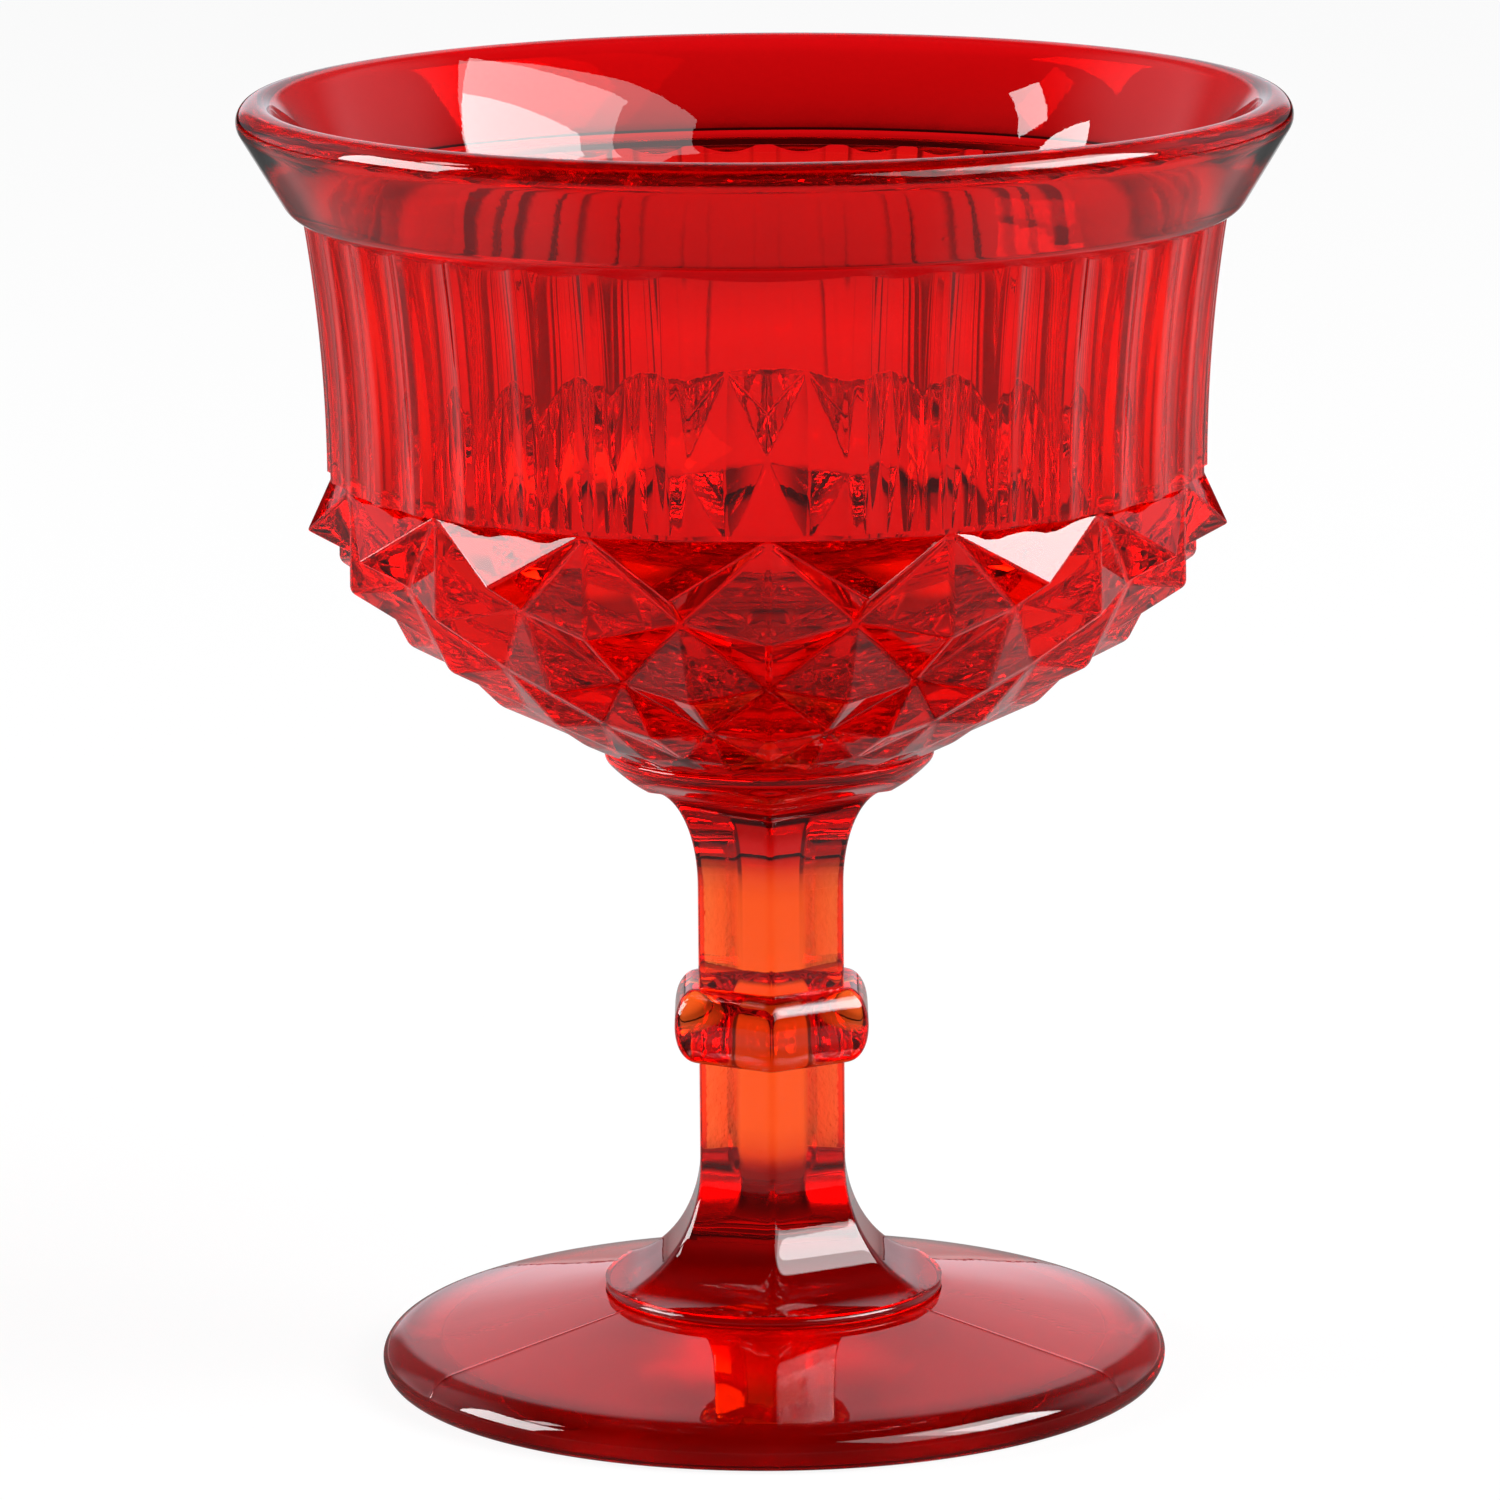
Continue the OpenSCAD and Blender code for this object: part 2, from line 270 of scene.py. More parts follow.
def mark_joints(piece, *heights):
    """Marks the flat faces where a piece is fused to the next one, which light passes straight through.
    A hair's gap is left there, so that light leaves one piece before it enters the next."""
    marks = piece.data.attributes.new("joint", "FLOAT", "FACE")
    moves = {}
    for face in piece.data.polygons:
        at_joint = any(abs(face.center.z - z) < TOUCHING for z in heights)
        if at_joint and abs(face.normal.z) > LEVEL:
            marks.data[face.index].value = 1.0
            moves.update({v: -math.copysign(JOINT_GAP, face.normal.z) for v in face.vertices})
    for v, move in moves.items():
        piece.data.vertices[v].co.z += move
    piece.data.update()


# Outlines

def arc(centre, radius, start, end, steps):
    """Points of an arc from one angle to another, in degrees"""
    angles = [math.radians(start + (end - start) * i / steps) for i in range(steps + 1)]
    return [(centre[0] + radius * math.cos(a), centre[1] + radius * math.sin(a)) for a in angles]


def straight(start, end, steps):
    """Points of a straight run, without the one that it starts from"""
    return [tuple(start.lerp(end, i / steps)) for i in range(1, steps + 1)]


def rounded_corner(start, corner, end, steps):
    """Points of a curve from start to end that bends round a corner"""
    shares = [i / steps for i in range(steps + 1)]
    return [tuple(start * (1 - s) ** 2 + corner * 2 * s * (1 - s) + end * s * s) for s in shares]


def flaring(narrow, wide, start_z, end_z, steps):
    """Points of a quarter of an ellipse, upright at its narrow end and level at its wide one"""
    angles = [math.pi / 2 * i / steps for i in range(steps + 1)]
    return [(wide - (wide - narrow) * math.cos(a), start_z + (end_z - start_z) * math.sin(a)) for a in angles]


def rows(start, end, count, edge=0.05 * MM):
    """Heights from start to end, with a narrow row at either end to keep the shading true at a joint"""
    step = math.copysign(edge, end - start)
    inner = [start + step + (end - start - 2 * step) * i / count for i in range(count + 1)]
    return [start] + inner + [end]


def mean_slope(p, q, r):
    """Slope at q of a smooth curve through three points of radius and height"""
    before, after = (q[0] - p[0]) / (q[1] - p[1]), (r[0] - q[0]) / (r[1] - q[1])
    h, k = q[1] - p[1], r[1] - q[1]
    return 3 * (h + k) / ((2 * k + h) / before + (k + 2 * h) / after)


def smooth_radius(p, q, from_slope, to_slope, z):
    """Radius at a height on a smooth curve between two points, with its slopes at both given"""
    h = q[1] - p[1]
    s = (z - p[1]) / h
    return ((1 + 2 * s) * (1 - s) ** 2 * p[0] + s * (1 - s) ** 2 * h * from_slope
            + s * s * (3 - 2 * s) * q[0] - s * s * (1 - s) * h * to_slope)


def six_sided(angle, sharpness=46):
    """How much further out a six-sided outline with an edge to the front is than its flats"""
    flats = [math.pi / 2 + math.tau / STEM_SIDES * i for i in range(STEM_SIDES // 2)]
    return sum(np.abs(np.cos(angle - flat)) ** sharpness for flat in flats) ** (-1 / sharpness)


def hexagon(angle, radius, z):
    return angle, radius * six_sided(angle), z


class BowlInside:
    """The smooth inside of the bowl, from its floor up to the lip"""

    # Degrees that the inside leans out where it meets the lip
    lean = 39

    def __init__(self, sizes):
        self.lip_radius = sizes.lip_thickness / 2
        self.lip_centre = (sizes.rim_radius - self.lip_radius, top_of("rim_band") - self.lip_radius)
        self.wall_z, self.band_z = foot_of("fluted_wall"), foot_of("rim_band")
        self.foot = (sizes.rib_foot_radius - sizes.wall_foot, self.wall_z)
        wall_top = (sizes.rib_top_radius - sizes.wall_top, self.band_z)
        band_foot = (sizes.band_foot_radius - sizes.band_foot_wall, self.band_z + sizes.band_rise)
        lean = math.radians(self.lean)
        self.top = (self.lip_centre[0] - self.lip_radius * math.cos(lean),
                    self.lip_centre[1] + self.lip_radius * math.sin(lean))
        self.stops = [self.foot, wall_top, band_foot, self.top]
        self.slopes = [0.0, mean_slope(self.foot, wall_top, band_foot),
                       mean_slope(wall_top, band_foot, self.top), math.tan(lean)]
        self.floor_z = foot_of("diamond_bowl") + sizes.floor_thickness

    def radius(self, z):
        below = sum(z > stop[1] for stop in self.stops[1:-1])
        return smooth_radius(self.stops[below], self.stops[below + 1],
                             self.slopes[below], self.slopes[below + 1], z)

    def floor(self, steps):
        """Outline of the floor, from the axis out to the foot of the wall"""
        deep = self.wall_z - self.floor_z
        angles = [math.pi / 2 * i / steps for i in range(steps + 1)]
        return [(self.foot[0] * math.sin(a), self.wall_z - deep * math.cos(a)) for a in angles]


class Flutes:
    """The ribs and hollows round the wall: a wide panel in each part of the mould, and narrow flutes"""

    # The rounding of a rib is a mean of this many places, in which the middle one weighs most
    rounding_places = 9
    middle_weight = 1.2
    # Rounds of working out where a hollow runs out, which settles quickly
    settling_rounds = 4

    def __init__(self, sizes):
        self.sizes = sizes
        third = math.tau / MOULD_PARTS
        narrow = (third - sizes.panel_angle) / (2 * FLUTES_BESIDE_PANEL)
        edges = [narrow * i - third / 2 for i in range(FLUTES_BESIDE_PANEL + 1)]
        edges += [-e for e in reversed(edges)]
        ribs = np.array(sorted({round(e + third * k, 9) for k in (-1, 0, 1) for e in edges}))
        self.ribs = ribs[np.abs(ribs) < math.pi + 1e-6]
        self.flat = math.asin(sizes.rib_width / 2 / sizes.rib_foot_radius)
        self.wall_z, self.band_z = foot_of("fluted_wall"), flutes_end(sizes)
        columns = [0]
        for width in np.diff(self.ribs):
            columns.append(columns[-1] + (PANEL_COLUMNS if width > 1.5 * narrow else FLUTE_COLUMNS))
        self.columns = np.array(columns) * math.tau / columns[-1] - math.pi

    def column(self, angle):
        """Moves the even columns of a turned ring so that one runs down the middle of each rib"""
        return np.interp(angle, self.columns, self.ribs)

    def sharp_hollow(self, angle):
        angle = (angle + math.pi) % math.tau - math.pi
        i = np.clip(np.searchsorted(self.ribs, angle) - 1, 0, len(self.ribs) - 2)
        low, high = self.ribs[i] + self.flat, self.ribs[i + 1] - self.flat
        s = np.clip((angle - low) / (high - low), 0, 1)
        return 1 - (2 * s - 1) ** 2

    def hollow(self, angle):
        """Share of the full depth of a hollow, with the edges of the ribs rounded over"""
        spread = self.sizes.rib_rounding / self.sizes.rib_foot_radius
        shares = np.linspace(-1, 1, self.rounding_places)
        weights = self.middle_weight - np.abs(shares)
        depths = [w * self.sharp_hollow(angle + spread * s) for s, w in zip(shares, weights)]
        return sum(depths) / weights.sum()

    def radius(self, angle, z):
        sizes = self.sizes
        u = np.clip((z - self.wall_z) / (self.band_z - self.wall_z), 0, 1)
        depth = sizes.flute_foot_depth + (sizes.flute_depth - sizes.flute_foot_depth) * u
        rib = sizes.rib_foot_radius + (sizes.rib_top_radius - sizes.rib_foot_radius) * u * u
        return rib - depth * self.hollow(angle)

    def top(self, angle):
        """Height where a hollow runs out on the sloping step of the rim band"""
        sizes = self.sizes
        slope = sizes.band_step / (sizes.band_foot_radius - sizes.rib_top_radius)
        z = np.full_like(angle, self.band_z)
        for _ in range(self.settling_rounds):
            z = self.band_z - slope * (sizes.rib_top_radius - self.radius(angle, z))
        return z


class DiamondLattice:
    """Where the grooves cross and the tips stand on the bowl. A level counts the rows from the top."""

    # How fast the rows get lower and the tips flatter towards the collar, and how round the bowl is
    level_power = 1.37
    tip_power = 1.7
    bowl_power = 2.0
    top_tip_level = 0.5

    def __init__(self, sizes):
        self.tip = sizes.diamond_tip
        self.groove_r = sizes.rib_foot_radius - sizes.flute_depth
        self.top_z, self.foot_z = foot_of("fluted_wall"), foot_of("diamond_bowl")
        self.end = math.acos((half_width("collar") / self.groove_r) ** (1 / self.bowl_power))
        self.reach = (self.top_z - self.foot_z) / math.sin(self.end)
        self.half_pitch = math.pi / DIAMONDS
        self.top_tip = self.tip_at(self.top_tip_level)
        self.facet_top = (sizes.rib_foot_radius - sizes.flute_foot_depth) * math.cos(self.half_pitch)

    def turn(self, level):
        return self.end * (1 - (1 - level / DIAMOND_ROWS) ** self.level_power)

    def groove(self, level):
        t = self.turn(level)
        return Vector((self.groove_r * math.cos(t) ** self.bowl_power, self.top_z - self.reach * math.sin(t)))

    def tip_at(self, level):
        t = self.turn(level)
        power = self.bowl_power
        out = Vector((self.reach * math.cos(t),
                      -self.groove_r * power * math.cos(t) ** (power - 1) * math.sin(t))).normalized()
        return self.groove(level) + self.tip * (1 - level / DIAMOND_ROWS) ** self.tip_power * out

    def upper_facet(self, z):
        """Distance of a facet of the top row from the axis, at a height in the middle of the facet"""
        share = (self.top_z - z) / (self.top_z - self.top_tip[1])
        return self.facet_top + (self.top_tip[0] - self.facet_top) * share

    def facet_height(self, distance):
        """Height of that facet at a distance from the axis"""
        share = (distance - self.facet_top) / (self.top_tip[0] - self.facet_top)
        return self.top_z - share * (self.top_z - self.top_tip[1])

    def step_of(self, point):
        """Number of half pitches from the front, for a point of the lattice"""
        return round(math.atan2(point.x, -point.y) / self.half_pitch) % (2 * DIAMONDS)


# Materials

class Socket:
    """A socket of a node, so that an expression on sockets adds its own Math nodes"""

    def __init__(self, shader, socket):
        self.shader, self.socket = shader, socket

    def __add__(self, other):
        return self.shader.maths("ADD", self, other)

    def __sub__(self, other):
        return self.shader.maths("SUBTRACT", self, other)

    def __rsub__(self, other):
        return self.shader.maths("SUBTRACT", other, self)

    def __mul__(self, other):
        return self.shader.maths("MULTIPLY", self, other)

    __radd__, __rmul__ = __add__, __mul__


class Shader:
    """A node tree that is filled in by one method, with short forms for the nodes that come often"""

    def __init__(self, tree):
        self.tree = tree
        tree.nodes.clear()

    def node(self, kind, settings=None, inputs=None):
        node = self.tree.nodes.new(kind)
        for name, value in (settings or {}).items():
            if name == "stops":
                ramp = node.color_ramp
                while len(ramp.elements) < len(value):
                    ramp.elements.new(1.0)
                for element, (position, shade) in zip(ramp.elements, value):
                    element.position, element.color = position, (*shade, 1.0)
            else:
                setattr(node, name, value)
        for name, value in (inputs or {}).items():
            if isinstance(value, Socket):
                self.tree.links.new(value.socket, node.inputs[name])
            else:
                node.inputs[name].default_value = value
        return {out.name: Socket(self, out) for out in node.outputs if out.enabled}

    def maths(self, operation, *values):
        return self.node("ShaderNodeMath", {"operation": operation}, dict(enumerate(values)))["Value"]

    def ramp(self, value, start, end, low, high):
        """A smooth change from low to high while a value goes from start to end"""
        return self.node("ShaderNodeMapRange", {"interpolation_type": "SMOOTHSTEP"}, {
            "Value": value, "From Min": start, "From Max": end, "To Min": low, "To Max": high})["Result"]

    def scaled(self, shade, factor):
        return self.node("ShaderNodeVectorMath", {"operation": "SCALE"}, {
            "Vector": shade, "Scale": factor})["Vector"]

    def noise(self, place, scale, detail):
        return self.node("ShaderNodeTexNoise", inputs={
            "Vector": place, "Scale": scale, "Detail": detail})["Fac"]

    def split(self, place):
        return self.node("ShaderNodeSeparateXYZ", inputs={"Vector": place})

    def from_axis(self, place):
        """Distance from the axis of the glass, for a place that is split in X, Y and Z"""
        return self.maths("SQRT", place["X"] * place["X"] + place["Y"] * place["Y"])


def studio_level(shader, path, way, far, fall, sides, front):
    """How bright the white studio is round the glass, as glass mirrors it and bends it. The backdrop ends
    in a dark gap on either side, which gives the cut edges their lines, and brightens again beyond it by the
    share for the sides. The studio is dimmer towards the front, and all of this shows less close to the
    glass than far off. To the camera it is white. Angles are in radians from straight behind the glass."""
    turn = shader.maths("ABSOLUTE", shader.maths("ARCTAN2", way["X"], way["Y"]))
    gap = shader.ramp(turn, 0.20, 0.32, 0.0, 0.80) - shader.ramp(turn, 0.56, 0.78, 0.0, sides)
    later_when_near = (1 - far) * 0.9
    dimmer = shader.ramp(turn - later_when_near, 1.1, 1.6, 0.0, front)
    level = fall * (1 - gap * far) * (1 - dimmer)
    return level + (1 - level) * path["Is Camera Ray"]


def glass_tint(shader, colours, height, out, cloud):
    """The colour of the glass by its height, a little cloudy, with painted shade that darkens the rounded
    edge of the foot
    """
    # Shares of the whole height between which each colour holds
    bands = ((colours.foot, 0.0, 0.066), (colours.flare, 0.085, 0.155), (colours.stem, 0.185, 0.385),
             (colours.collar, 0.415, 0.495), (colours.bowl, 0.53, 0.70), (colours.wall, 0.76, 0.87),
             (colours.rim, 0.915, 1.0))
    stops = [(share, tuple(shade)) for shade, *ends in bands for share in ends]
    share = height * (1 / top_of("rim_band")) + (cloud - 0.5) * 0.03
    tint = shader.node("ShaderNodeValToRGB", {"stops": stops}, {"Fac": share})["Color"]
    # Painted shade: the tint is darkened towards the rounded edge of the foot, low down
    outer = shader.ramp(out, 29.8 * MM, 33.2 * MM, 0.0, 0.6)
    low = shader.ramp(height, 4.5 * MM, 6.0 * MM, 1.0, 0.0)
    return shader.scaled(tint, 1 - outer * low)


def glass_relief(shader, place, wave_depth, wrinkled):
    """The faint waves, grain, wrinkles and seeds of pressed glass, as a bump of some depth in metres"""
    waves = shader.noise(place, scale=90.0, detail=1.0)
    grain = shader.noise(place, scale=420.0, detail=2.0)
    wrinkles = shader.noise(place, scale=1500.0, detail=2.0)
    seeds = shader.node("ShaderNodeTexVoronoi", inputs={"Vector": place, "Scale": 160.0})["Distance"]
    pits = shader.ramp(seeds, 0.02, 0.06, -1.0, 0.0)
    relief = waves + grain * 0.06 + wrinkles * wrinkled + pits * 0.05
    return shader.node("ShaderNodeBump", inputs={
        "Strength": 1.0, "Distance": wave_depth, "Height": relief})["Normal"]


def pressed_glass(name, colours, wave_depth, wrinkled):
    """Clear pressed glass that runs from deep red at the rim to amber in the stem, dulled in the hollow under
    the foot, with joints that light passes straight through"""
    material = bpy.data.materials.new(name)
    material.use_nodes = True
    shader = Shader(material.node_tree)
    place = shader.node("ShaderNodeTexCoord")["Object"]
    split = shader.split(place)
    height, out = split["Z"], shader.from_axis(split)
    cloud = shader.noise(place, scale=55.0, detail=2.0)
    under = shader.ramp(height, 1.1 * MM, 1.3 * MM, 0.34, 0.0)
    in_hollow = shader.ramp(out, 28.6 * MM, 29.4 * MM, 1.0, 0.0)
    joint = shader.node("ShaderNodeAttribute", {
        "attribute_type": "GEOMETRY", "attribute_name": "joint"})["Fac"]
    surface = shader.node("ShaderNodeBsdfPrincipled", inputs={
        "Base Color": glass_tint(shader, colours, height, out, cloud), "Roughness": under * in_hollow,
        "IOR": 1.5, "Transmission Weight": 1.0, "Alpha": 1 - joint,
        "Normal": glass_relief(shader, place, wave_depth, wrinkled)})["BSDF"]
    body = shader.node("ShaderNodeVolumeAbsorption", inputs={
        "Color": (*colours.body, 1.0), "Density": 350.0})["Volume"]
    shader.node("ShaderNodeOutputMaterial", inputs={"Surface": surface, "Volume": body})
    return material


# Depth of the waves in each glass, and how strong its wrinkles are beside them
GLASS_WAVES = {"ruby_glass": (0.06 * MM, 0.02), "deep_ruby_glass": (0.04 * MM, 0.05),
               "amber_glass": (0.03 * MM, 0.08)}


def glass_material(slot):
    name = "pressed_" + slot
    if name in bpy.data.materials:
        return bpy.data.materials[name]
    return pressed_glass(name, bpy.context.scene.sherbet_colours, *GLASS_WAVES[slot])


def floor_material(colours):
    """Pale matt floor, white to the camera, with painted shade and shadows round the glass that show where
    glass mirrors it and bends it
    """
    material = bpy.data.materials.new("pale_floor")
    material.use_nodes = True
    shader = Shader(material.node_tree)
    path = shader.node("ShaderNodeLightPath")
    place = shader.split(shader.node("ShaderNodeTexCoord")["Object"])
    away = shader.from_axis(place)
    aside = shader.maths("ABSOLUTE", place["X"])
    # Is Glossy Ray is set for light that glass bends too
    mirrored = path["Is Glossy Ray"] * (1 - path["Is Transmission Ray"])
    bent = shader.maths("MAXIMUM", path["Is Glossy Ray"], path["Is Transmission Ray"])
    # Painted shade under the middle of the foot, a painted shadow of the stem in a strip in line with it, and
    # a painted shadow in a ring round the foot
    middle = shader.ramp(away, 6 * MM, 18 * MM, 0.2, 1.0)
    painted_stem_shadow = shader.ramp(aside, 6 * MM, 13 * MM, 0.65, 0.0) * shader.ramp(away, 30 * MM, 45 * MM, 1.0, 0.0)
    ring = shader.ramp(away, 31 * MM, 36 * MM, 0.0, 0.62) - shader.ramp(away, 50 * MM, 75 * MM, 0.0, 0.62)
    # Painted shade: the floor is darker where glass mirrors it, and darker still far off
    painted_mirror_shade = mirrored * shader.ramp(away, 0.15, 0.4, 0.62, 0.35)
    edge = shader.ramp(away, 0.95, 1.7, 1.0, 0.08)
    # The level paints the studio's dark gaps and dimmer front onto the floor as shade; to the camera the
    # floor stays white
    level = studio_level(
        shader, path, place, far=shader.ramp(away, 0.12, 0.38, 0.0, 1.0),
        fall=edge * (middle * (1 - painted_stem_shadow)) * (1 - ring) * (1 - painted_mirror_shade),
        sides=shader.ramp(away, 0.2, 0.5, 0.80, 0.46), front=shader.ramp(away, 15 * MM, 40 * MM, 0.0, 0.54))
    matt = shader.node("ShaderNodeBsdfDiffuse", inputs={"Color": shader.scaled(tuple(colours.floor), level)})
    white = shader.node("ShaderNodeEmission", inputs={"Color": shader.scaled((1.0, 1.0, 1.0), level)})
    # The share of plain white, beside which the matt floor keeps the shadow
    glow = path["Is Camera Ray"] * 0.9 + bent * shader.ramp(away, 34 * MM, 40 * MM, 0.6, 0.3)
    mixed = shader.node("ShaderNodeMixShader", inputs={0: glow, 1: matt["BSDF"], 2: white["Emission"]})
    shader.node("ShaderNodeOutputMaterial", inputs={"Surface": mixed["Shader"]})
    return material


# Pieces

def finished(piece, node, slot, smooth_angle=35, flat_facets=False):
    """Shades a piece, gives it its glass and puts it in the place of its node"""
    pick(piece)
    bpy.ops.object.shade_smooth_by_angle(angle=math.radians(smooth_angle))
    if flat_facets:
        weighted = piece.modifiers.new("Flat facets", "WEIGHTED_NORMAL")
        weighted.keep_sharp = True
        weighted.weight = 100
        bpy.ops.object.modifier_apply(modifier=weighted.name)
    piece.data.materials.clear()
    piece.data.materials.append(glass_material(slot))
    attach(piece, "root")
    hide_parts(node)
    clear_selection()


class MESH_OT_rim_band(bpy.types.Operator):
    """Makes the flared band at the rim, with its round lip and the step under it"""

    bl_idname = "mesh.sherbet_rim_band"
    bl_label = "Rim Band"

    def execute(self, context):
        sizes = context.scene.sherbet_sizes
        inside = BowlInside(sizes)
        joint_z = flutes_end(sizes)
        foot = Vector((sizes.band_foot_radius, joint_z + sizes.band_step))
        step_foot = Vector((sizes.rib_top_radius, joint_z))
        centre = Vector(inside.lip_centre)
        to_centre = centre - foot
        lean = math.atan2(to_centre.y, to_centre.x) - math.asin(inside.lip_radius / to_centre.length)
        up, down = Vector((math.cos(lean), math.sin(lean))), (step_foot - foot).normalized()
        touch = foot + up * math.sqrt(to_centre.length ** 2 - inside.lip_radius ** 2)
        touch_angle = math.degrees(math.atan2(touch.y - centre.y, touch.x - centre.x))
        bend_top, bend_foot = foot + up * sizes.band_bend, foot + down * sizes.band_bend
        above_joint = bend_foot.lerp(step_foot, 0.9)
        outline = [(inside.radius(z), z) for z in rows(joint_z, inside.top[1], 26)]
        outline += arc(inside.lip_centre, inside.lip_radius, 180 - inside.lean, touch_angle, 30)[1:]
        outline += straight(touch, bend_top, 10)
        outline += rounded_corner(bend_top, foot, bend_foot, 8)[1:]
        outline += [tuple(above_joint), tuple(step_foot)]
        band = turned("rim_band_glass", outline, ROUND_COLUMNS)
        mark_joints(band, joint_z)
        finished(band, "rim_band", "ruby_glass")
        return {"FINISHED"}


class MESH_OT_fluted_wall(bpy.types.Operator):
    """Makes the upright wall with its ribs, narrow flutes and wide panels"""

    bl_idname = "mesh.sherbet_fluted_wall"
    bl_label = "Fluted Wall"

    def execute(self, context):
        sizes = context.scene.sherbet_sizes
        inside, flutes = BowlInside(sizes), Flutes(sizes)
        low, high = foot_of("fluted_wall"), flutes_end(sizes)
        outline = [(inside.radius(z), z) for z in rows(low, high, 16)]
        outline.append((sizes.rib_top_radius, high))
        outline += [(sizes.rib_foot_radius, z) for z in rows(high, low, 26, edge=0.12 * MM)]
        wall = turned("fluted_wall_glass", outline, WALL_COLUMNS)

        def flute(angle, radius, z):
            angle = flutes.column(angle)
            outer = np.abs(radius - sizes.rib_foot_radius) < TOUCHING
            share = (z - low) / (high - low)
            outer_z = low + share * (flutes.top(angle) - low)
            radius = np.where(outer, flutes.radius(angle, outer_z), radius)
            return angle, radius, np.where(outer, outer_z, z)

        pressed(wall, flute)
        mark_joints(wall, low, high)
        finished(wall, "fluted_wall", "ruby_glass")
        return {"FINISHED"}


class MESH_OT_diamond_bowl(bpy.types.Operator):
    """Makes the round bowl with its rows of diamonds, which run up into the ends of the flutes"""

    bl_idname = "mesh.sherbet_diamond_bowl"
    bl_label = "Diamond Bowl"

    # How far the lattice and the hollow are drawn on above the joint with the wall
    lattice_above = 0.9 * MM
    hollow_above = 2 * MM
    # Edges that bend less than this aren't rounded
    least_bend = math.radians(4)
    # How far the ring of flute ends reaches above and below that joint, and how wide it is
    ring_above = 1.5 * MM
    ring_below = 3 * MM
    ring_width = 7 * MM
    # How far down a flute may run, the least and greatest height of the curve at its end, and how deep that
    # curve sinks into the facet
    longest_end = 2.2 * MM
    least_curve = 0.06 * MM
    greatest_curve = 0.9 * MM
    sink = 0.04 * MM

    def rings(self, shape):
        """Radius and height of the grooves and of the tips in each ring of points, with its level"""
        corner = 1 / math.cos(shape.half_pitch)
        for z in (shape.top_z + self.lattice_above, shape.top_z):
            facet = shape.upper_facet(z)
            yield Vector((facet, z)), Vector((facet * corner, z)), 1
        for level in range(1, DIAMOND_ROWS + 1):
            yield shape.groove(level), shape.tip_at(level), level

    def lattice(self, sizes, shape):
        """The diamonds as a solid: rings of points drawn down from the top, every second point pushed out"""
        rings = list(self.rings(shape))
        at = rings[0][0]
        clear_selection()
        bpy.ops.mesh.primitive_circle_add(
            vertices=2 * DIAMONDS, radius=at[0], fill_type="NOTHING", location=(0, 0, at[1]))
        bowl = bpy.context.object
        bowl.name = bowl.data.name = "diamond_bowl_glass"
        bpy.ops.object.transform_apply(location=True)

        def near(v, z):
            return abs(v.co.z - z) < TOUCHING

        def crossing(v):
            step = shape.step_of(v.co)
            if near(v, shape.top_z):
                return step % 2 == 0
            return any(near(v, groove[1]) and (step + level) % 2 == 0 for groove, _, level in rings[2:])

        def under_a_rib(e):
            low, high = sorted(e.verts, key=lambda v: v.co.z)
            return (all(shape.step_of(v.co) % 2 == 1 for v in e.verts)
                    and near(high, shape.top_z) and low.co.z < shape.top_z - MM)

        with editing(bowl):
            bpy.ops.mesh.select_all(action="SELECT")
            for groove, _, _ in rings[1:]:
                bpy.ops.mesh.extrude_region_move()
                move_ring(at, groove)
                at = groove
            for groove, tip, level in rings:
                choose(bowl, "VERT", lambda v: near(v, groove[1]) and (shape.step_of(v.co) + level) % 2 == 1)
                move_ring(groove, tip)
            choose(bowl, "VERT", crossing)
            bpy.ops.mesh.vert_connect()
            choose(bowl, "EDGE", under_a_rib)
            bpy.ops.mesh.subdivide(number_cuts=1, ngon=False)
            middle = (rings[1][0] + rings[2][0]) / 2
            choose(bowl, "VERT", lambda v: near(v, middle[1]))
            move_ring(middle, shape.top_tip)
            choose(bowl, "EDGE", lambda e: not e.is_boundary and e.calc_face_angle() > self.least_bend)
            bpy.ops.mesh.bevel(offset=sizes.diamond_edge, offset_type="OFFSET", segments=3, affect="EDGES")
            bpy.ops.mesh.select_all(action="SELECT")
            bpy.ops.mesh.fill_holes(sides=0)
        merge_and_face_out(bowl)
        return bowl

    def flute_ends(self, sizes, shape):
        """A ring with the lower ends of the flutes, which run out in a hollow curve on the facets"""
        flutes = Flutes(sizes)
        low, high = shape.top_z - self.ring_below, shape.top_z + self.ring_above
        inner = sizes.rib_foot_radius - self.ring_width
        outline = [(inner, low), (inner, high)]
        outline += [(sizes.rib_foot_radius, z) for z in rows(high, low, 14)]
        ring = turned("flute_ends", outline, WALL_COLUMNS)
        facet_top = Vector((shape.facet_top, shape.top_z))
        down = (shape.top_tip - facet_top).normalized()

        def flute(angle, radius, z):
            angle = flutes.column(angle)
            outer = np.abs(radius - sizes.rib_foot_radius) < TOUCHING
            wall = flutes.radius(angle, np.full_like(angle, shape.top_z))
            off_tip = angle % (2 * shape.half_pitch) - shape.half_pitch
            crease = shape.facet_height(wall * np.cos(off_tip))
            crease = np.maximum(crease, shape.top_z - self.longest_end)
            curve = np.clip(shape.top_z - crease, self.least_curve, self.greatest_curve)
            share = 2 * (z - low) / (high - low)
            bend = np.clip(1 - share, 0, 1)
            curved_z = crease + curve * ((1 - bend) ** 2 + down.y * bend ** 2)
            straight_z = crease + curve + (share - 1) * (high - crease - curve)
            outer_z = np.where(share > 1, straight_z, curved_z)
            outer_r = flutes.radius(angle, outer_z) + curve * down.x * bend ** 2 - self.sink * bend ** 6
            return angle, np.where(outer, outer_r, radius), np.where(outer, outer_z, z)

        pressed(ring, flute)
        return ring

